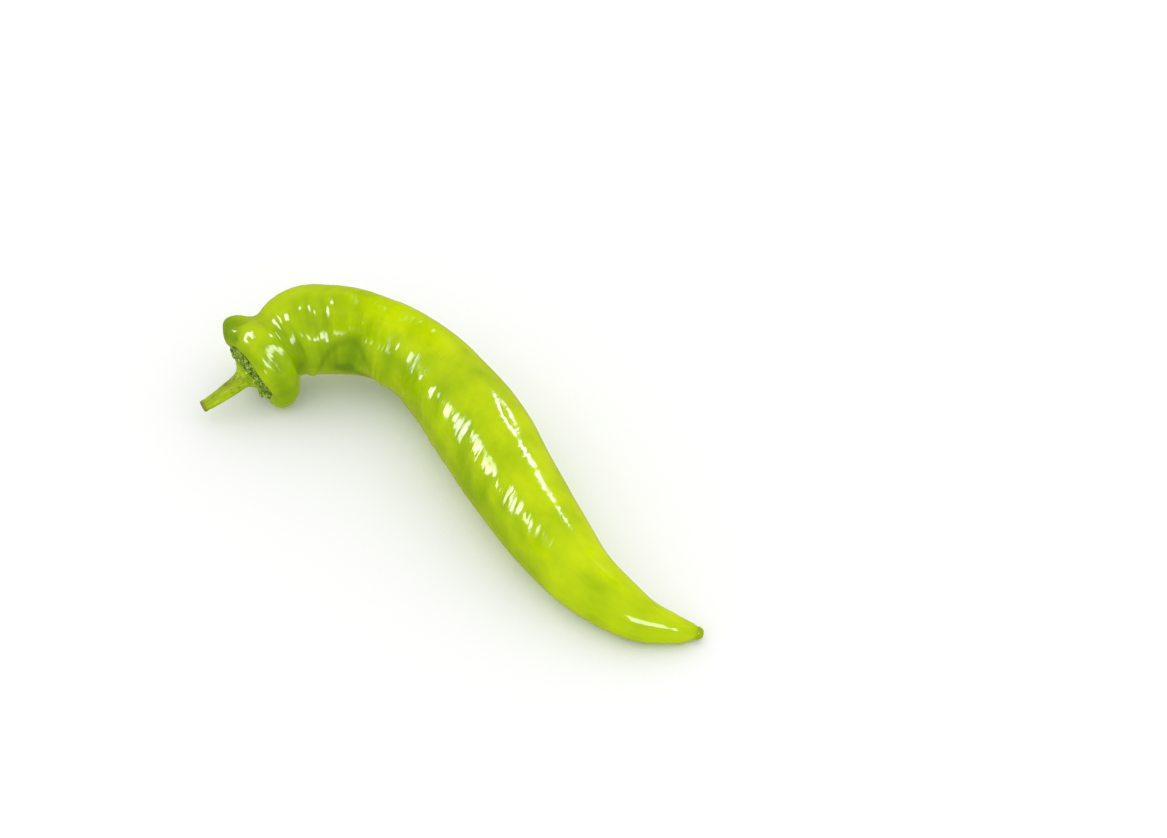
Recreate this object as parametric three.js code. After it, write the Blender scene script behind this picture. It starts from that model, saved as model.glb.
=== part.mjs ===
// A long green horn chilli pepper, lying on its side as picked: the pod, the calyx that caps it
// and the stem. Millimetres, +Z up, the pod's length along X with its tip towards +X, and the
// origin on the resting surface under the middle of the bounding box.
import * as THREE from "three";
import { mergeVertices } from "three/addons/utils/BufferGeometryUtils.js";

// ---- driving dimensions ----

// The line through the middle of the pod, from the calyx to the tip.
const POD_SPINE = [
  [-95.0, -9.6, 15.7],
  [-91.1, 0.7, 20.1],
  [-85.4, 8.9, 22.7],
  [-75.4, 17.5, 23.2],
  [-62.8, 23.9, 21.2],
  [-47.4, 26.0, 18.3],
  [-30.5, 21.7, 16.1],
  [-3.5, 7.6, 17.7],
  [20.5, -7.1, 16.3],
  [43.7, -19.7, 14.5],
  [66.2, -28.9, 11.4],
  [88.7, -32.0, 8.3],
  [101.8, -27.7, 5.5],
  [107.7, -23.8, 3.6],
  [111.0, -21.7, 2.6],
];

// Outlines are [radius, distance]. The pod's and the calyx's distances run along the pod's
// spine from the calyx's seat towards the tip, so the stem's side of it is negative.
const SEAT = [
  [0, 2.6],
  [5, 2.4],
  [9.4, 1.6],
];
const SHOULDER = [
  [11.6, -0.6],
  [13.6, -1.9],
  [16.0, -0.9],
  [17.5, 2.2],
  [17.4, 5.6],
  [16.0, 9.2],
];
const BODY = [
  [15.0, 13],
  [15.6, 18],
  [16.8, 27],
  [17.3, 38],
  [16.5, 52],
  [15.4, 67],
  [16.4, 84],
  [18.0, 115],
  [16.8, 143],
  [14.8, 170],
  [11.8, 195],
  [8.5, 217],
  [5.1, 232],
  [3.2, 238.5],
];
const TIP = [
  [2.2, 241.2],
  [1.1, 242.1],
  [0, 242.3],
];
const CALYX = [
  [0, -6.2],
  [4.0, -6.2],
  [4.9, -5.5],
  [6.6, -4.6],
  [8.9, -3.2],
  [11.2, -1.9],
  [11.6, -1.4],
  [11.3, -0.9],
  [9.1, 1.3],
  [5, 2.05],
  [0, 2.25],
];

// The stem's outline, whose distances run from the calyx to the cut end.
const STEM = [
  [0, 0],
  [3.8, 0],
  [3.3, 1.8],
  [3.0, 4.5],
  [2.85, 9],
  [2.4, 15],
  [2.2, 18.5],
  [1.9, 18.8],
  [0, 18.8],
];
const STEM_START = -6.5;
// How far the cut end has bent away from the calyx's axis, to the left and upwards.
const STEM_BEND = [1.2, 1.6];

// Swellings and hollows of the pod's skin, as [distance, angle, how far out, half length, half
// angle]. The angle goes from the outer side of the bend over the top to the inner side. The
// first four are the shoulder's lobes.
const SWELLINGS = [
  [2, 45, 1.8, 7, 34],
  [0, 138, 0.6, 9, 34],
  [-1, 226, 2.6, 6, 34],
  [0, 312, 1.2, 9, 34],
  [19, 35, 2.6, 8, 45],
  [41, 176, -2.2, 11, 34],
  [12, 236, -2.2, 5, 32],
  [50, 45, -1.3, 10, 45],
];
// They fade out between these radii, so that the calyx's seat stays round.
const SEAT_RADIUS = 11.6;
const CREST_RADIUS = 13.6;

const POD_RINGS = 92;
const POD_SIDES = 40;
const STEM_SIDES = 20;

// ---- shaping ----

const UP = new THREE.Vector3(0, 0, 1);
const vectors = (points) => points.map((p) => new THREE.Vector3(...p));
const corners = (points) => points.map((p) => new THREE.Vector2(...p));

const spine = new THREE.CatmullRomCurve3(vectors(POD_SPINE), false, "catmullrom");
spine.arcLengthDivisions = 600;

// The place and the three directions of a curve at a distance along it: onward, to the left of
// it in plan, and across the top. Past either end it carries on straight.
function stationOn(curve, distance) {
  const length = curve.getLength();
  const held = THREE.MathUtils.clamp(distance, 0, length);
  const onward = curve.getTangentAt(held / length);
  const place = curve.getPointAt(held / length).addScaledVector(onward, distance - held);
  const left = new THREE.Vector3().crossVectors(UP, onward).normalize();
  const over = new THREE.Vector3().crossVectors(onward, left);
  return { place, onward, left, over };
}

// A smooth bump of height 1 that fades over the given half width.
const bump = (offset, halfWidth) => Math.exp(-((offset / halfWidth) ** 2));

// The signed difference of two angles in degrees, from -180 to 180.
const turnBetween = (a, b) => THREE.MathUtils.euclideanModulo(a - b + 180, 360) - 180;

// How far the pod's skin stands out from its round outline.
function swelling(along, angle, radius) {
  let out = 0;
  for (const [distance, middle, height, halfLength, halfAngle] of SWELLINGS)
    out +=
      height * bump(along - distance, halfLength) * bump(turnBetween(angle, middle), halfAngle);
  return out * THREE.MathUtils.smoothstep(radius, SEAT_RADIUS, CREST_RADIUS);
}

const noSwelling = () => 0;

// Turns an outline about the Y axis and swells it square to its own surface.
function turned(outline, sides, swell) {
  const lathe = new THREE.LatheGeometry(outline, sides);
  const position = lathe.getAttribute("position");
  const normal = lathe.getAttribute("normal");
  const place = new THREE.Vector3();
  const outward = new THREE.Vector3();
  for (let i = 0; i < position.count; i++) {
    place.fromBufferAttribute(position, i);
    const turn = THREE.MathUtils.radToDeg(Math.atan2(place.x, place.z));
    outward.fromBufferAttribute(normal, i);
    place.addScaledVector(outward, swell(place.y, turn, Math.hypot(place.x, place.z)));
    position.setXYZ(i, place.x, place.y, place.z);
  }
  lathe.deleteAttribute("normal");
  lathe.deleteAttribute("uv");
  return mergeVertices(lathe, 1e-4);
}

// Carries every ring of a turned outline to its station on a curve.
function sweep(outline, sides, curve, swell) {
  const geometry = turned(outline, sides, swell);
  const position = geometry.getAttribute("position");
  for (let i = 0; i < position.count; i++) {
    const { place, left, over } = stationOn(curve, position.getY(i));
    place.addScaledVector(left, position.getZ(i));
    place.addScaledVector(over, position.getX(i));
    position.setXYZ(i, place.x, place.y, place.z);
  }
  return geometry;
}

function named(name, geometry, color, roughness) {
  const mesh = new THREE.Mesh(
    geometry,
    new THREE.MeshStandardMaterial({ color, roughness, metalness: 0 }),
  );
  mesh.name = name;
  return mesh;
}

// ---- the three organs ----

function makePod() {
  const side = new THREE.SplineCurve(corners([...SHOULDER, ...BODY, ...TIP]));
  const outline = [...corners(SEAT), ...side.getSpacedPoints(POD_RINGS)];
  const geometry = sweep(outline, POD_SIDES, spine, swelling);
  // Where the pod rests, its own weight presses the skin flat.
  const position = geometry.getAttribute("position");
  for (let i = 0; i < position.count; i++) position.setZ(i, Math.max(0, position.getZ(i)));
  return named("pod", geometry, 0x9fc41a, 0.28);
}

function makeCalyx() {
  return named("calyx", sweep(corners(CALYX), POD_SIDES, spine, noSwelling), 0x5f8420, 0.6);
}

function makeStem() {
  const length = STEM.at(-1)[1];
  const line = [0, 0.35, 0.7, 1].map((part) => {
    const { place, left, over } = stationOn(spine, STEM_START - part * length);
    place.addScaledVector(left, STEM_BEND[0] * part ** 2);
    return place.addScaledVector(over, STEM_BEND[1] * part ** 2);
  });
  const curve = new THREE.CatmullRomCurve3(line, false, "catmullrom");
  return named("stem", sweep(corners(STEM), STEM_SIDES, curve, noSwelling), 0x93a83a, 0.55);
}

const pepper = new THREE.Group();
pepper.add(makePod(), makeCalyx(), makeStem());
export default pepper;
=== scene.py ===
"""A long green horn chilli pepper, lying on its side as picked: the pod, its calyx and its stem."""

import math

import bpy
from mathutils import Matrix, Vector


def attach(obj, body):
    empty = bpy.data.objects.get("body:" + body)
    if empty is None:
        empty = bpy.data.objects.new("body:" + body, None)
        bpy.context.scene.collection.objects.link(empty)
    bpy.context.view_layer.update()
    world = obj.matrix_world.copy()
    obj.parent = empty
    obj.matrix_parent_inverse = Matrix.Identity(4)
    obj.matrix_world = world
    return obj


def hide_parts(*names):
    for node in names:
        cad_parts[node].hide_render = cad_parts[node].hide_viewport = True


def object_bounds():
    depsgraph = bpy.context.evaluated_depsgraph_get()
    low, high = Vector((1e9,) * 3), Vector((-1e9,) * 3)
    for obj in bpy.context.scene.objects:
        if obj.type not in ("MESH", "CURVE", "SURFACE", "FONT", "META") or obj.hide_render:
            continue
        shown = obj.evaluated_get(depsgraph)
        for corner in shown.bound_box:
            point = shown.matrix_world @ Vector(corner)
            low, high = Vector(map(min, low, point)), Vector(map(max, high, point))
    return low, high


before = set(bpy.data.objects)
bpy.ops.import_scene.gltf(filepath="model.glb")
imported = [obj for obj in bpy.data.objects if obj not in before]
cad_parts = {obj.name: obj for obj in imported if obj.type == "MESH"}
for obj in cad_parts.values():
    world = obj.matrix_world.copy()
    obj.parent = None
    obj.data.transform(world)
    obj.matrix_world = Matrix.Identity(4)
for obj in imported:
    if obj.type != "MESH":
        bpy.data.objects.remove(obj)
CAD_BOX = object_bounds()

MM = 0.001
UP = Vector((0, 0, 1))

# ---------------------------------------------------------------- the pepper's dimensions, mm

# The line through the middle of the pod, from the calyx's seat to the tip.
POD_SPINE = [
    (-95.0, -9.6, 15.7),
    (-91.1, 0.7, 20.1),
    (-85.4, 8.9, 22.7),
    (-75.4, 17.5, 23.2),
    (-62.8, 23.9, 21.2),
    (-47.4, 26.0, 18.3),
    (-30.5, 21.7, 16.1),
    (-3.5, 7.6, 17.7),
    (20.5, -7.1, 16.3),
    (43.7, -19.7, 14.5),
    (66.2, -28.9, 11.4),
    (88.7, -32.0, 8.3),
    (101.8, -27.7, 5.5),
    (107.7, -23.8, 3.6),
    (111.0, -21.7, 2.6),
]

# Outlines are (radius, distance along the middle line from the calyx's seat). Distances on the
# stem's side of the seat are negative.
POD_OUTLINE = [
    (0, 2.6),
    (5, 2.4),
    (9.4, 1.6),
    (11.6, -0.6),
    (13.6, -1.9),
    (16.0, -0.9),
    (17.5, 2.2),
    (17.4, 5.6),
    (16.0, 9.2),
    (15.0, 13),
    (15.6, 18),
    (16.8, 27),
    (17.3, 38),
    (16.5, 52),
    (15.4, 67),
    (16.4, 84),
    (18.0, 115),
    (16.8, 143),
    (14.8, 170),
    (11.8, 195),
    (8.5, 217),
    (5.1, 232),
    (3.3, 237.6),
    (2.5, 239.4),
    (2.35, 240.6),
    (1.5, 241.9),
    (0, 242.3),
]
CALYX_OUTLINE = [
    (0, -6.6),
    (3.7, -6.7),
    (4.1, -6.4),
    (4.9, -5.6),
    (6.5, -4.6),
    (8.6, -3.3),
    (10.4, -2.2),
    (11.2, -1.6),
    (11.3, -1.1),
    (10.9, -0.7),
    (9.1, 1.2),
    (5, 2.0),
    (0, 2.2),
]
STEM_OUTLINE = [
    (0, -25.35),
    (1.2, -25.3),
    (2.0, -25.2),
    (2.25, -24.9),
    (2.3, -24.2),
    (2.2, -23.2),
    (2.4, -21.4),
    (2.95, -15.5),
    (3.15, -11.0),
    (3.4, -8.3),
    (3.9, -6.3),
    (3.8, -5.6),
    (0, -5.5),
]
# Where the calyx's rim curls off the shoulder, in the same terms as the swellings below.
CALYX_CURLS = [
    (-2, 246, 3.0, 5, 26),
    (-2, 32, 1.5, 5, 5),
    (-2, 140, 0.4, 4, 12),
]
CALYX_VEINS = 6
STEM_RIDGES = 6
# The cut end's face lies past these distances.
CUT_FACE = (-24.9, -25.15)
# How far the stem's cut end has bent leftwards and upwards, and over which length before the seat.
STEM_BEND = (1.2, 1.6)
STEM_BEND_START = 6.5
STEM_BEND_LENGTH = 18.8
# How far the middle line is carried on: before the seat, in steps of 1 mm, and past the tip.
LINE_BEFORE_SEAT = 28
LINE_PAST_TIP = 3.0
# Points that are closer than this are one, at the seams and at the ends.
SEAM_GAP = 0.002

# The pod's seat for the calyx stays round, and its shapes fade in between these radii.
SEAT_RADIUS = 11.6
CREST_RADIUS = 13.6
# The neck turns into the straight body between these distances.
BODY_START = (50, 95)
# Angles go from the outer side of the bend (0) over the top (90) to its inner side (180).
TOP_ANGLE = 90
# How far the body's wrinkles run askew, in mm for each degree round the pod.
WRINKLE_TILT = 0.13

# Swellings of the skin: distance, angle, how far out, half length, half angle.
POD_SWELLINGS = [
    # the shoulder's four lobes, the second of which leans over the neck
    (4, 41, 3.7, 4.5, 24),
    (1, 115, -0.6, 3, 30),
    (7, 80, 1.0, 3.4, 14),
    (8, 98, 1.5, 3.2, 16),
    (9, 118, 1.9, 3.4, 18),
    (12, 142, 2.0, 3.2, 20),
    (10, 170, 0.9, 3.5, 18),
    (-1, 226, 2.6, 6, 34),
    (0, 312, 1.2, 9, 34),
    # the neck
    (21, 35, 2.2, 8, 45),
    (27, 60, 0.8, 7, 40),
    (50, 45, -0.7, 9, 45),
    # long soft swellings of the body
    (76, 35, 0.8, 15, 40),
    (100, 130, 0.5, 12, 22),
    (150, 120, 0.4, 12, 30),
]
# Grooves and hollows, in the same terms but how far in.
POD_GROOVES = [
    # the valleys between the lobes
    (1.5, 77, 1.2, 3, 9),
    (6, 62, 1.4, 3.2, 9),
    (2, 192, 0.6, 5, 10),
    (1, 275, 0.6, 6, 14),
    (1, 355, 0.8, 6, 14),
    # the groove that parts the neck from the shoulder
    (11.2, 50, 1.0, 1.9, 34),
    (12.7, 88, 0.9, 2.0, 18),
    (14.8, 115, 0.6, 2.2, 18),
    (17.3, 150, 1.3, 2.2, 24),
    (15, 185, 0.8, 2.5, 20),
    (12, 236, 2.2, 5, 32),
    # the pinched inner side of the bend
    (41, 176, 1.3, 11, 34),
    # long soft grooves of the body
    (125, 70, 0.3, 8, 6),
    (75, 150, 0.4, 9, 25),
    (128, 140, 0.45, 9, 22),
    # nicks near the tail
    (208.5, 59, 0.6, 0.8, 13),
    (215, 56, 0.6, 0.8, 12),
]
# The pinch is a flat-bottomed arch: its crown's distance and angle, and the half length that it
# has reached this many degrees below the crown.
PINCH = (40.5, 145, 16, 50)
PINCH_DEPTH = 1.2
# Where shade is painted into the skin as a darker, greener colour, in the same terms but how much.
POD_SHADES = [
    # in and round the pinch
    (29.5, 168, 0.35, 4, 16),
    (40, 198, 1.2, 5, 8),
    (34, 196, 0.3, 4, 9),
    (49, 211, 1.0, 9, 10),
    (40, 236, 0.55, 22, 20),
    (31, 112, 0.34, 13, 24),
    (51, 166, 0.3, 4, 14),
    # the pocket beside the shoulder
    (15, 178, 0.6, 4, 18),
    (22, 185, 0.5, 5, 16),
    # the shoulder's lower lobe, and the body's inner side
    (2, 174, 0.35, 6, 18),
    (150, 180, 0.6, 75, 26),
    # the nicks
    (208.5, 60, 0.8, 0.9, 12),
    (215, 57, 0.8, 0.9, 11),
]
# Where the wax is dull and hides the gloss, in the same terms but how dull.
DULL_WAX = [
    # the crest, and the skin just above the pinch
    (61, 84, 0.9, 24, 27),
    (43, 96, 0.7, 8, 14),
    (41, 131, 0.9, 11, 13),
    (55, 131, 0.7, 7, 13),
    # the body's inner side
    (141, 121, 0.5, 5, 10),
    (179, 132, 1.0, 6, 16),
    # breaks in the long highlight on top
    (136.5, 77, 0.8, 2.2, 9),
    (152.5, 80, 0.8, 1.8, 8),
    (163, 80, 0.7, 1.2, 8),
    (169, 80, 0.8, 2.0, 8),
    (183, 79, 0.8, 1.0, 8),
    (191.5, 80, 0.9, 2.4, 9),
    (204, 88, 1.0, 7, 12),
]
# Thin creases across the inner side of the bend, in the same terms as the grooves.
POD_CREASES = [
    (54, 186, 0.3, 0.9, 20),
    (57.5, 190, 0.35, 0.8, 18),
    (61, 192, 0.3, 0.9, 18),
    (31, 182, 0.2, 0.9, 16),
    (9.5, 128, 0.15, 0.8, 14),
]
# The crest where the bend ends is painted yellower, a painted soft highlight: distance, angle, half
# length, half angle.
PAINTED_CREST_SHEEN = (60, 88, 26, 34)

# ---------------------------------------------------------------- the view and the room, metres

# The camera looks down at the pepper from its lower side.
VIEW_TURN = math.radians(33)
VIEW_HEIGHT = math.radians(45)
VIEW_DISTANCE = 1.2
VIEW_WIDTH = 0.4435
LOOK_AT_FROM_CENTRE = Vector((0.0156, 0.0480, 0))
# The room's brightness for the skin, and its colours as the gloss sees them.
ROOM_LIGHT = 1.1
GLOSSY_ROOM = (0.10, 0.10, 0.09)
GLOSSY_FLOOR = (0.38, 0.40, 0.08)


# ---------------------------------------------------------------- nodes as expressions


class Field:
    """A node socket whose arithmetic adds Math nodes, or Vector Math nodes for a vector."""

    def __init__(self, graph, socket):
        self.graph = graph
        self.socket = socket

    def __add__(self, other):
        return self.graph.math("ADD", self, other)

    def __radd__(self, other):
        return self.graph.math("ADD", other, self)

    def __sub__(self, other):
        return self.graph.math("SUBTRACT", self, other)

    def __rsub__(self, other):
        return self.graph.math("SUBTRACT", other, self)

    def __mul__(self, other):
        return self.graph.math("MULTIPLY", self, other)

    def __rmul__(self, other):
        return self.graph.math("MULTIPLY", other, self)

    def __truediv__(self, other):
        return self.graph.math("DIVIDE", self, other)

    def __neg__(self):
        return self.graph.math("MULTIPLY", self, -1)

    @property
    def is_vector(self):
        return self.socket.type == "VECTOR"


class Graph:
    """A node tree that is written as Python expressions."""

    def __init__(self, tree):
        self.tree = tree
        tree.nodes.clear()

    def node(self, kind, sockets=None, **settings):
        """Adds a node: its settings first, then its sockets' values or links."""
        made = self.tree.nodes.new(kind)
        for name, value in settings.items():
            setattr(made, name, value)
        for name, value in (sockets or {}).items():
            if isinstance(value, Field):
                self.tree.links.new(value.socket, made.inputs[name])
            else:
                made.inputs[name].default_value = value
        return made

    def field(self, kind, sockets=None, output=0, **settings):
        return Field(self, self.node(kind, sockets, **settings).outputs[output])

    def math(self, operation, *values):
        vectors = [v for v in values if isinstance(v, Field) and v.is_vector]
        if not vectors:
            sockets = dict(enumerate(values))
            return self.field("ShaderNodeMath", sockets, operation=operation)
        if operation == "MULTIPLY" and len(vectors) == 1:
            scale = values[1] if values[0] is vectors[0] else values[0]
            sockets = {0: vectors[0], "Scale": scale}
            return self.field("ShaderNodeVectorMath", sockets, operation="SCALE")
        sockets = dict(enumerate(values))
        return self.field("ShaderNodeVectorMath", sockets, operation=operation)

    def vector(self, x, y, z):
        return self.field("ShaderNodeCombineXYZ", {0: x, 1: y, 2: z})

    def parts(self, vector):
        split = self.node("ShaderNodeSeparateXYZ", {0: vector})
        return [Field(self, socket) for socket in split.outputs]

    def noise(self, vector, detail=2.0, roughness=0.5):
        """Noise of mean 0, mostly within -0.5 to 0.5, whose features are about 1 across."""
        sockets = {"Vector": vector, "Scale": 1.0, "Detail": detail, "Roughness": roughness}
        return self.field("ShaderNodeTexNoise", sockets) - 0.5

    def drawn_noise(self, place, across, lengthwise, shift=0.0, detail=1.0):
        """Noise on (x, y, along), with so many features a metre across the piece and along it."""
        x, y, along = place
        drawn = self.vector(x * across, y * across, along * lengthwise + shift)
        return self.noise(drawn, detail)

    def ease(self, value, low, high):
        """0 below low, 1 above high, and a smooth step between; low may be the larger."""
        sockets = {"Value": value, "From Min": low, "From Max": high}
        return self.field("ShaderNodeMapRange", sockets, interpolation_type="SMOOTHSTEP")

    def fade(self, length, low, high):
        """Eases a length in metres between two limits in mm."""
        return self.ease(length, low * MM, high * MM)

    def blend(self, factor, first, second):
        """A mix of two colours."""
        sockets = {"Factor": factor, "A": first, "B": second}
        made = self.tree.nodes.new("ShaderNodeMix")
        made.data_type = "RGBA"
        for socket in made.inputs:
            if socket.enabled and socket.name in sockets:
                value = sockets[socket.name]
                if isinstance(value, Field):
                    self.tree.links.new(value.socket, socket)
                else:
                    socket.default_value = value if socket.name == "Factor" else (*value, 1)
        return Field(self, next(s for s in made.outputs if s.enabled))


# ---------------------------------------------------------------- turned skins


def smooth_line(corners, steps=24):
    """Points of a Catmull-Rom curve through corners, its ends carried straight on."""
    corners = [Vector(c) for c in corners]
    ends = [2 * corners[0] - corners[1], *corners, 2 * corners[-1] - corners[-2]]
    points = []
    for a, b, c, d in zip(ends, ends[1:], ends[2:], ends[3:]):
        for step in range(steps):
            t = step / steps
            line = 2 * b + (c - a) * t
            bow = (2 * a - 5 * b + 4 * c - d) * t**2 + (3 * b - a - 3 * c + d) * t**3
            points.append((line + bow) / 2)
    return [*points, corners[-1]]


def pepper_line():
    """The middle line of stem, calyx and pod in one, in metres, and the length of its part
    before the calyx's seat."""
    spine = smooth_line([Vector(p) * MM for p in POD_SPINE])
    onward = (spine[1] - spine[0]).normalized()
    left = UP.cross(onward).normalized()
    over = onward.cross(left)
    before = []
    for step in range(LINE_BEFORE_SEAT, 0, -1):
        bent = max(0.0, (step - STEM_BEND_START) / STEM_BEND_LENGTH) ** 2
        aside = left * (STEM_BEND[0] * bent) + over * (STEM_BEND[1] * bent)
        before.append(spine[0] - onward * (step * MM) + aside * MM)
    to_seat = [*before, spine[0]]
    seat_length = sum((b - a).length for a, b in zip(to_seat, to_seat[1:]))
    last = (spine[-1] - spine[-2]).normalized()
    return [*before, *spine, spine[-1] + last * (LINE_PAST_TIP * MM)], seat_length


def helper_curve(name, points):
    """A curve object of straight steps, which a geometry tree samples."""
    data = bpy.data.curves.new(name, "CURVE")
    data.dimensions = "3D"
    spline = data.splines.new("POLY")
    spline.points.add(len(points) - 1)
    for point, place in zip(spline.points, points):
        point.co = (*place, 1)
    made = bpy.data.objects.new(name, data)
    bpy.context.scene.collection.objects.link(made)
    return made


def bell(graph, *offsets):
    """1 where every offset is 0, fading smoothly past 1."""
    squares = sum(offset * offset for offset in offsets)
    return graph.math("EXPONENT", -squares)


def wrapped(graph, angle):
    """The same angle between -180 and 180 degrees."""
    return graph.math("WRAP", angle, 180, -180)


def offsets_from(graph, spot, along, angle):
    """How far a place is from a spot's middle, in the spot's half lengths and half angles."""
    distance, middle, half_length, half_angle = spot
    lengthwise = (along - distance * MM) / (half_length * MM)
    return lengthwise, wrapped(graph, angle - middle) / half_angle


def amounts(graph, table, along, angle):
    """The sum of a table's amounts, each one a bell round the middle of its spot."""
    total = 0
    for distance, middle, amount, half_length, half_angle in table:
        spot = (distance, middle, half_length, half_angle)
        total = total + amount * bell(graph, *offsets_from(graph, spot, along, angle))
    return total


def turned_tree(name, form, material):
    """A geometry tree that carries an outline round a middle line. form(graph, place, angle,
    radius) gives how far the surface stands out in mm, and how much darker its colour is painted
    there: painted shade in its hollows, and on the calyx some mottle too."""
    tree = bpy.data.node_groups.new(name, "GeometryNodeTree")
    face = tree.interface
    face.new_socket("Geometry", in_out="INPUT", socket_type="NodeSocketGeometry")
    face.new_socket("Middle Line", in_out="INPUT", socket_type="NodeSocketObject")
    face.new_socket("Outline", in_out="INPUT", socket_type="NodeSocketObject")
    face.new_socket("Rings", in_out="INPUT", socket_type="NodeSocketInt")
    face.new_socket("Sides", in_out="INPUT", socket_type="NodeSocketInt")
    face.new_socket("Seat Length", in_out="INPUT", socket_type="NodeSocketFloat")
    face.new_socket("Geometry", in_out="OUTPUT", socket_type="NodeSocketGeometry")
    graph = Graph(tree)
    given = graph.node("NodeGroupInput")
    size = {socket.name: Field(graph, socket) for socket in given.outputs if socket.name}

    def sample(which, mode, where):
        curve = graph.field("GeometryNodeObjectInfo", {"Object": size[which]}, "Geometry")
        place = "Factor" if mode == "FACTOR" else "Length"
        sockets = {"Curves": curve, place: where}
        made = graph.node("GeometryNodeSampleCurve", sockets, mode=mode)
        return Field(graph, made.outputs["Position"]), Field(graph, made.outputs["Tangent"])

    # the grid's X runs along the outline, and its Y round the middle line
    grid_size = {"Size X": 1.0, "Size Y": 1.0}
    grid_counts = {"Vertices X": size["Rings"], "Vertices Y": size["Sides"]}
    grid = graph.field("GeometryNodeMeshGrid", {**grid_size, **grid_counts})
    x, y, _ = graph.parts(graph.field("GeometryNodeInputPosition"))
    turn = (y + 0.5) * math.tau
    angle = (y + 0.5) * 360
    cosine = graph.math("COSINE", turn)
    sine = graph.math("SINE", turn)

    outline, outline_onward = sample("Outline", "FACTOR", x + 0.5)
    radius, along, _ = graph.parts(outline)
    radius_onward, along_onward, _ = graph.parts(outline_onward)
    straight = (radius * cosine, radius * sine, along)
    out, hollow = form(graph, straight, angle, radius)
    wide = radius + along_onward * out * MM
    far = along - radius_onward * out * MM

    place, onward = sample("Middle Line", "LENGTH", far + size["Seat Length"])
    left = graph.math("CROSS_PRODUCT", graph.vector(*UP), onward)
    left = graph.field("ShaderNodeVectorMath", {0: left}, operation="NORMALIZE")
    over = graph.math("CROSS_PRODUCT", onward, left)
    bent = place + left * (wide * cosine) + over * (wide * sine)
    east, north, height = graph.parts(bent)
    # its own weight presses the skin flat where it rests
    bent = graph.vector(east, north, graph.math("MAXIMUM", height, 0.0))

    def stored(geometry, attribute, data_type, value):
        sockets = {"Geometry": geometry, "Name": attribute, "Value": value}
        return graph.field(
            "GeometryNodeStoreNamedAttribute", sockets, data_type=data_type, domain="POINT"
        )

    shape = stored(grid, "flesh", "FLOAT_VECTOR", graph.vector(*straight))
    # the shade that the materials paint into the colour of the hollows
    shape = stored(shape, "hollow", "FLOAT", hollow)
    shape = graph.field("GeometryNodeSetPosition", {"Geometry": shape, "Position": bent})
    sockets = {"Geometry": shape, "Distance": SEAM_GAP * MM}
    shape = graph.field("GeometryNodeMergeByDistance", sockets)
    shape = graph.field("GeometryNodeFlipFaces", {"Mesh": shape})
    shape = graph.field("GeometryNodeSetShadeSmooth", {"Geometry": shape})
    shape = graph.field("GeometryNodeRealizeInstances", {"Geometry": shape})
    shape = graph.field("GeometryNodeSetMaterial", {"Geometry": shape, "Material": material})
    graph.node("NodeGroupOutput", {"Geometry": shape})
    return tree


def turned_piece(name, outline, rings, sides, form, material):
    """Runs a turned tree, and leaves its plain mesh as the piece of that name."""
    points, seat_length = pepper_line()
    line = helper_curve("middle_line", points)
    corners = [Vector((radius, distance, 0)) * MM for radius, distance in outline]
    profile = helper_curve("outline", smooth_line(corners, steps=12))
    maker = bpy.data.objects.new(name + "_maker", bpy.data.meshes.new(name + "_maker"))
    bpy.context.scene.collection.objects.link(maker)
    tree = turned_tree(name + "_tree", form, material)
    modifier = maker.modifiers.new("turned", "NODES")
    modifier.node_group = tree
    values = {
        "Middle Line": line,
        "Outline": profile,
        "Rings": rings,
        "Sides": sides,
        "Seat Length": seat_length,
    }
    for socket in tree.interface.items_tree:
        if socket.in_out == "INPUT" and socket.name in values:
            modifier[socket.identifier] = values[socket.name]
    bpy.context.view_layer.update()
    evaluated = maker.evaluated_get(bpy.context.evaluated_depsgraph_get())
    mesh = bpy.data.meshes.new_from_object(evaluated)
    mesh.name = name
    for helper in (maker, line, profile):
        bpy.data.objects.remove(helper)
    piece = bpy.data.objects.new(name, mesh)
    bpy.context.scene.collection.objects.link(piece)
    return piece


# ---------------------------------------------------------------- the three organs' forms


def askew(graph, place, turn):
    """The place as the wrinkles see it, because on the body they run askew round the pod."""
    x, y, along = place
    return x, y, along - turn * graph.fade(along, *BODY_START) * WRINKLE_TILT * MM


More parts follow.
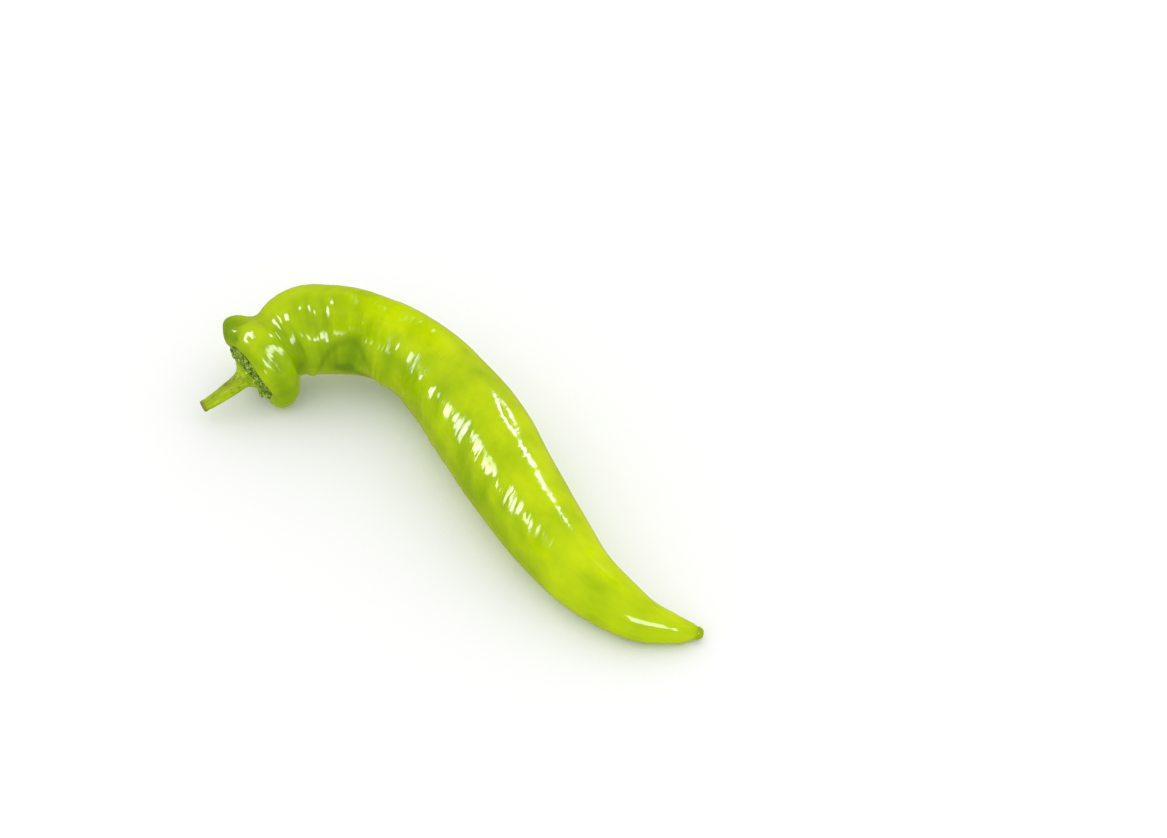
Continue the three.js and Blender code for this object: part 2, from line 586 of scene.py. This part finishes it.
def pod_form(graph, place, angle, radius):
    """The pod's lobes, hollows, lumps and wrinkles, and the shade painted into its hollows."""
    along = place[2]
    turn = wrapped(graph, angle - TOP_ANGLE)
    swollen = amounts(graph, POD_SWELLINGS, along, angle)
    sunk = amounts(graph, POD_GROOVES, along, angle)
    creases = amounts(graph, POD_CREASES, along, angle)
    shades = amounts(graph, POD_SHADES, along, angle)

    # the arch of the pinch, which is open towards the floor, and the shade painted along its edge
    lengthwise, below_crown = offsets_from(graph, PINCH, along, angle)
    inside = below_crown - lengthwise * lengthwise
    pressed = graph.ease(inside, -0.15, 0.7) * graph.ease(angle, 260, 215) * PINCH_DEPTH
    edge = bell(graph, (inside - 0.05) / 0.17) * graph.ease(angle, 225, 190)
    edge = edge * (1 - graph.fade(along, 44, 56) * 0.6)

    # wrinkles across the pod, deepest on the side that faces the bend's inside
    on_body = graph.fade(along, *BODY_START)
    facing_in = bell(graph, (turn - 44 - on_body * 4) / (62 - 27 * on_body))
    wrinkled = (0.1 + facing_in) * graph.fade(along, 205, 150)
    wrinkled = wrinkled * graph.ease(graph.math("ABSOLUTE", turn), 175, 130)
    slanted = askew(graph, place, turn)
    hook_ripple = graph.drawn_noise(slanted, 48, 200) * 2.6
    body_ripple = graph.drawn_noise(slanted, 75, 128) * 2.3
    ripple = hook_ripple + (body_ripple - hook_ripple) * on_body
    pleat = graph.drawn_noise(slanted, 130, 430, shift=7.0) * 0.55
    hook_folds = graph.drawn_noise(place, 70, 480) * 1.5
    hook_folds = hook_folds * bell(graph, (along - 28 * MM) / (15 * MM), (turn - 16) / 26)
    wrinkles = (ripple + pleat) * wrinkled + hook_folds

    lumps = graph.drawn_noise(place, 28, 26, shift=3.0) * 1.3
    lumps = lumps * graph.fade(along, 8, 24) * graph.fade(along, 236, 200)
    past_seat = graph.fade(radius, SEAT_RADIUS, CREST_RADIUS)
    out = (swollen - sunk - creases - pressed + wrinkles) * past_seat + lumps
    # painted shade: a darker, greener colour in the grooves, creases, pinch and wrinkle valleys,
    # and the shades listed above
    hollow = sunk * 0.35 + creases * 0.8 + pressed * 0.17 + shades + edge * 0.5 - wrinkles * 0.4
    return out, hollow * past_seat


def calyx_form(graph, place, angle, radius):
    """Veins that run out from the stem, a ragged band, and a rim that curls off the shoulder."""
    along = place[2]
    outer_face = graph.fade(along, -0.7, -1.3)
    wander = graph.drawn_noise(place, 90, 0, shift=2.0, detail=2.0) * 40
    turn = (angle + wander) * math.radians(1)
    veins = graph.math("COSINE", turn * CALYX_VEINS) * 0.25 * graph.fade(radius, 3.2, 5.5)
    rough = graph.drawn_noise(place, 900, 900, detail=3.0) * 1.2
    torn = graph.drawn_noise(place, 300, 0, shift=5.0, detail=3.0) * 1.5
    band = graph.fade(radius, 6.2, 8.2)
    skin = (veins + (rough + torn) * band) * outer_face
    # the rim's outer face curls up in full, and its hidden face a little less the other way
    curl = amounts(graph, CALYX_CURLS, along, angle) * graph.fade(radius, 6.5, 9)
    curled = curl * (outer_face * 1.85 - 0.85)
    # the second value darkens the colour: painted shade between the veins, a little all over, and
    # mottle with the rough band
    return skin + curled, (rough * 0.6 - veins) * outer_face + 0.3


def stem_form(graph, place, angle, radius):
    """Six soft ridges along the stalk, and a cut face that isn't quite flat."""
    along = place[2]
    ridges = graph.math("COSINE", angle * math.radians(1) * STEM_RIDGES + along * 40) * 0.11
    flutes = graph.drawn_noise(place, 500, 45, detail=2.0) * 0.35
    lumps = graph.drawn_noise(place, 120, 150) * 0.5
    cut = graph.drawn_noise(place, 700, 0, shift=1.0, detail=2.0) * 0.35
    at_end = graph.fade(along, *CUT_FACE)
    side = graph.fade(radius, 0.8, 1.9)
    out = (ridges + flutes + lumps) * side * (1 - at_end) + cut * at_end
    # the second value is shade painted into the dips between the flutes
    return out, graph.ease(flutes, 0.05, -0.12)


# ---------------------------------------------------------------- materials

LIME = (0.33, 0.51, 0.001)
YELLOW_LIME = (0.66, 0.80, 0.001)
LEAF_GREEN = (0.13, 0.26, 0.003)
DEEP_GREEN = (0.055, 0.14, 0.004)

CONE_GREEN = (0.27, 0.43, 0.002)
CONE_LIME = (0.58, 0.76, 0.008)
SEPAL_GREEN = (0.015, 0.07, 0.001)
SEPAL_LIME = (0.38, 0.58, 0.02)
SPECK = (0.72, 0.84, 0.30)
VEIN_SHADE = (0.08, 0.17, 0.008)
STRAW = (0.42, 0.36, 0.06)
# dried brown, and painted shade in the slit under the rim
DRY_BROWN_AND_SLIT_SHADE = (0.035, 0.028, 0.006)

STALK_GREEN = (0.28, 0.43, 0.002)
STALK_LIME = (0.56, 0.74, 0.003)
FLUTE_SHADE = (0.14, 0.19, 0.012)
WEATHERED_OLIVE = (0.24, 0.27, 0.004)
FLECK_BROWN = (0.11, 0.06, 0.015)
PITH = (0.40, 0.36, 0.13)
OLD_PITH = (0.20, 0.17, 0.05)
CUT_RIM = (0.12, 0.075, 0.02)
DRIED_END = (0.16, 0.10, 0.025)

SKIN_IOR = 1.45
# A calyx and a stem are matte, with little gloss of their own.
MATTE_SKIN = {"IOR": SKIN_IOR, "Specular IOR Level": 0.15}
WAXY_SKIN = {
    "IOR": SKIN_IOR,
    "Coat Weight": 0.4,
    "Coat Roughness": 0.06,
    "Subsurface Weight": 0.12,
    "Subsurface Radius": (0.6, 1.0, 0.1),
    "Subsurface Scale": 0.003,
}


def new_material(name):
    material = bpy.data.materials.new(name)
    material.use_nodes = True
    return material, Graph(material.node_tree)


def finish_material(graph, settings, height, bump_distance, dull=None, **linked):
    """A Principled surface with a bump of the given height, which loses its gloss where dull."""
    bump_sockets = {"Height": height, "Distance": bump_distance, "Strength": 1.0}
    bump = graph.field("ShaderNodeBump", bump_sockets)
    sockets = {**settings, **linked, "Normal": bump}
    surface = graph.field("ShaderNodeBsdfPrincipled", sockets)
    if dull is not None:
        sockets = {**sockets, "Specular IOR Level": 0.0, "Roughness": 0.9, "Coat Weight": 0.0}
        matte = graph.field("ShaderNodeBsdfPrincipled", sockets)
        surface = graph.field("ShaderNodeMixShader", {0: dull, 1: surface, 2: matte})
    graph.node("ShaderNodeOutputMaterial", {"Surface": surface})


def straight_place(graph):
    """Where the skin was before it was bent, as one vector and as (x, y, along), with its
    radius and its angle."""
    flesh = graph.field("ShaderNodeAttribute", output="Vector", attribute_name="flesh")
    x, y, along = graph.parts(flesh)
    radius = graph.math("SQRT", x * x + y * y)
    angle = graph.math("ARCTAN2", y, x) * math.degrees(1)
    return flesh, (x, y, along), radius, angle


def painted_shade_and_mottle_of(graph):
    return graph.field("ShaderNodeAttribute", output="Fac", attribute_name="hollow")


def pod_skin():
    """Waxy skin: lime green, yellower on the outer side, greener with painted shade in the hollows.
    """
    material, graph = new_material("pod_skin")
    flesh, place, radius, angle = straight_place(graph)
    x, _, along = place
    patches = graph.drawn_noise(place, 75, 60, detail=3.0)
    streaks = graph.drawn_noise(place, 620, 28, detail=2.0)
    grain = graph.noise(flesh * 1500)

    outer = x / (radius + 0.01 * MM)
    crest = bell(graph, *offsets_from(graph, PAINTED_CREST_SHEEN, along, angle))
    # yellower towards the tail, and a painted soft highlight on the crest
    yellowing_and_crest_sheen = graph.fade(along, 20, 190) * 0.3 + crest * 0.2
    # the outer side is yellower and lighter: partly the skin's own tone, partly painted light on
    # that side
    yellow = 0.29 + outer * 0.22 + yellowing_and_crest_sheen + patches * 1.3 + streaks * 0.2 + grain * 0.12
    colour = graph.blend(yellow, LIME, YELLOW_LIME)
    # greener where the shade is painted in, towards the seat, and in random patches
    green = painted_shade_and_mottle_of(graph) * 0.75 + graph.fade(along, 6, -2) * 0.3 - patches * 0.4
    first_lobe = bell(graph, (along - 1 * MM) / (6 * MM), (angle - 48) / 28)
    colour = graph.blend(green + first_lobe * (0.8 + streaks), colour, LEAF_GREEN)
    nub = graph.fade(along, 238.4, 240.2) * 0.35
    seat = graph.fade(radius, 12.4, 11.2) * graph.fade(along, 6, 3)
    colour = graph.blend(nub + seat, colour, DEEP_GREEN)

    rough = 0.12 + graph.math("ABSOLUTE", grain) * 0.12 + patches * 0.06
    peel = graph.noise(flesh * 900, detail=1.0) * 0.25
    turn = wrapped(graph, angle - TOP_ANGLE)
    pleats = graph.drawn_noise(askew(graph, place, turn), 150, 700)
    pleats = pleats * (0.6 + 5 * bell(graph, (turn - 34) / 40)) * graph.fade(along, 205, 165)
    dull = graph.ease(amounts(graph, DULL_WAX, along, angle), 0.1, 0.8) * 0.93
    linked = {"Base Color": colour, "Roughness": rough}
    finish_material(graph, WAXY_SKIN, peel + pleats, 0.06 * MM, dull, **linked)
    return material


def calyx_skin():
    """Smooth green near the stem, a dark ragged band, and a dry brown edge against the pod, whose
    hidden face is painted dark as shade in the slit.
    """
    material, graph = new_material("calyx_skin")
    flesh, place, radius, angle = straight_place(graph)
    along = place[2]
    mottle = graph.noise(flesh * 600, detail=4.0, roughness=0.65)
    fine = graph.noise(flesh * 2200)

    shaded = bell(graph, (angle - 178) / 38) * 0.6
    cone = graph.blend(0.55 + mottle * 2.4 - shaded, CONE_GREEN, CONE_LIME)
    ragged = graph.blend(0.45 + mottle * 2.6 + fine * 2.4, SEPAL_GREEN, SEPAL_LIME)
    specks = graph.ease(fine + mottle * 0.6, 0.08, 0.17) * graph.fade(radius, 4, 7)
    ragged = graph.blend(specks, ragged, SPECK)
    band = graph.fade(radius + mottle * 5 * MM, 5.2, 7.8)
    colour = graph.blend(band, cone, ragged)
    # painted shade between the veins, with the rough band's mottle
    colour = graph.blend(painted_shade_and_mottle_of(graph) * 0.45, colour, VEIN_SHADE)
    straw = graph.fade(along, -2.0, -1.6) * graph.ease(mottle, -0.05, 0.1)
    colour = graph.blend(straw * 0.7, colour, STRAW)
    # the rim's edge is dried brown, and its hidden face against the pod is painted nearly black as
    # shade in the slit
    dry_edge_and_slit_shade = graph.fade(along + mottle * 0.5 * MM, -1.5, -1.1)
    colour = graph.blend(dry_edge_and_slit_shade, colour, DRY_BROWN_AND_SLIT_SHADE)
    linked = {"Base Color": colour, "Roughness": 0.45 + mottle * 0.4}
    finish_material(graph, MATTE_SKIN, mottle + fine * 0.4, 0.5 * MM, **linked)
    return material


def stem_skin():
    """Yellow-green stalk with olive stripes and brown flecks, and a pale cut end."""
    material, graph = new_material("stem_skin")
    flesh, place, radius, angle = straight_place(graph)
    along = place[2]
    stripes = graph.drawn_noise(place, 600, 90, detail=3.0)
    olive = graph.drawn_noise(place, 500, 260, shift=4.0, detail=3.0)
    fine = graph.noise(flesh * 2500)
    flecks = graph.drawn_noise(place, 1400, 500, shift=9.0, detail=2.0)

    colour = graph.blend(0.5 + stripes * 1.4, STALK_GREEN, STALK_LIME)
    # painted shade in the dips between the flutes
    colour = graph.blend(painted_shade_and_mottle_of(graph) * 0.35, colour, FLUTE_SHADE)
    weathered = bell(graph, (angle - 95) / 45) * 0.35 + olive * 1.5
    colour = graph.blend(weathered, colour, WEATHERED_OLIVE)
    colour = graph.blend(graph.ease(flecks, 0.1, 0.2) * 0.7, colour, FLECK_BROWN)

    rings = 0.5 + graph.noise(flesh * 1600, detail=3.0) * 1.6
    face = graph.blend(rings, PITH, OLD_PITH)
    face = graph.blend(graph.fade(radius, 1.35, 1.95) * 0.85, face, CUT_RIM)
    cut = graph.fade(along, -24.95, -25.15)
    colour = graph.blend(cut, colour, face)
    dried = graph.fade(along, -23.6, -24.8) * 0.45
    colour = graph.blend(dried * (1 - cut), colour, DRIED_END)
    linked = {"Base Color": colour, "Roughness": 0.42 + stripes * 0.3 + cut * 0.35}
    finish_material(graph, MATTE_SKIN, stripes + fine * 0.6, 0.25 * MM, **linked)
    return material


# ---------------------------------------------------------------- studio


def towards_camera(x, y, z):
    """A direction given as right, away and up for the camera, in the part's own frame."""
    return Matrix.Rotation(VIEW_TURN, 3, "Z") @ Vector((x, y, z))


def look_at():
    low, high = (Vector(corner) for corner in CAD_BOX)
    middle = (low + high) / 2
    return Vector((middle.x, middle.y, 0)) + LOOK_AT_FROM_CENTRE


def add_camera():
    data = bpy.data.cameras.new("camera")
    data.sensor_width = 36
    data.lens = data.sensor_width * VIEW_DISTANCE / VIEW_WIDTH
    data.clip_start = 0.05
    data.clip_end = 20
    camera = bpy.data.objects.new("camera", data)
    bpy.context.scene.collection.objects.link(camera)
    back = towards_camera(0, -math.cos(VIEW_HEIGHT), math.sin(VIEW_HEIGHT))
    camera.location = look_at() + back * VIEW_DISTANCE
    camera.rotation_euler = (-back).to_track_quat("-Z", "Y").to_euler()
    bpy.context.scene.camera = camera


def add_softbox(name, direction, distance, size, power, roll=0):
    """A rectangular area light that faces the pepper from a direction. It shows only as a
    highlight in the gloss, because the room gives the light that falls on the skin."""
    data = bpy.data.lights.new(name, "AREA")
    data.shape = "RECTANGLE"
    data.size, data.size_y = size
    data.energy = power
    lamp = bpy.data.objects.new(name, data)
    bpy.context.scene.collection.objects.link(lamp)
    towards = towards_camera(*direction).normalized()
    lamp.location = towards * distance
    facing = (-towards).to_track_quat("-Z", "Y").to_matrix()
    lamp.rotation_euler = (facing @ Matrix.Rotation(math.radians(roll), 3, "Z")).to_euler()
    lamp.visible_diffuse = False


def add_world():
    """A white room. The gloss sees a dimmer one, greenish yellow below the horizon."""
    world = bpy.data.worlds.new("studio")
    world.use_nodes = True
    bpy.context.scene.world = world
    graph = Graph(world.node_tree)
    shine = graph.field("ShaderNodeLightPath", output="Is Glossy Ray")
    seen = graph.field("ShaderNodeLightPath", output="Is Camera Ray")
    _, _, height = graph.parts(graph.field("ShaderNodeTexCoord", output="Generated"))
    below = graph.ease(height, 0.1, -0.3)
    room = graph.blend(below, GLOSSY_ROOM, GLOSSY_FLOOR)
    colour = graph.blend(shine, (1, 1, 1), room)
    strength = ROOM_LIGHT + (seen + shine) * (1 - ROOM_LIGHT)
    surface = graph.field("ShaderNodeBackground", {"Color": colour, "Strength": strength})
    graph.node("ShaderNodeOutputWorld", {"Surface": surface})


def add_floor():
    mesh = bpy.data.meshes.new("floor")
    half = 4.0
    corners = [(-half, -half, 0), (half, -half, 0), (half, half, 0), (-half, half, 0)]
    mesh.from_pydata(corners, [], [(0, 1, 2, 3)])
    floor = bpy.data.objects.new("floor", mesh)
    bpy.context.scene.collection.objects.link(floor)
    material, graph = new_material("floor_paper")
    place = graph.field("ShaderNodeTexCoord", output="Object")
    tooth = graph.noise(place * 900)
    settings = {"Base Color": (0.94, 0.94, 0.94, 1), "Roughness": 0.8, "IOR": 1.3}
    finish_material(graph, settings, tooth, 0.05 * MM)
    mesh.materials.append(material)
    floor.visible_glossy = False


# ---------------------------------------------------------------- the scene


def add_pepper():
    pod = turned_piece("pod_skin_mesh", POD_OUTLINE, 620, 160, pod_form, pod_skin())
    calyx = turned_piece("calyx_sepals", CALYX_OUTLINE, 140, 241, calyx_form, calyx_skin())
    stem = turned_piece("stem_stalk", STEM_OUTLINE, 220, 121, stem_form, stem_skin())
    for piece, node, slot in (
        (pod, "pod", "pod_skin"),
        (calyx, "calyx", "calyx_skin"),
        (stem, "stem", "stem_skin"),
    ):
        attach(piece, "root")
        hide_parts(node)


add_camera()
add_world()
add_floor()
add_softbox("left_softbox", (-0.78, 0.06, 0.60), 1.2, (0.5, 0.42), 9)
add_softbox("back_strip", (0.37, 0.69, 0.62), 1.3, (0.11, 0.64), 4.5, roll=25)
add_softbox("front_softbox", (0.22, -0.76, 0.50), 1.5, (1.4, 0.4), 15)
add_pepper()
bpy.context.scene.view_settings.view_transform = "Standard"
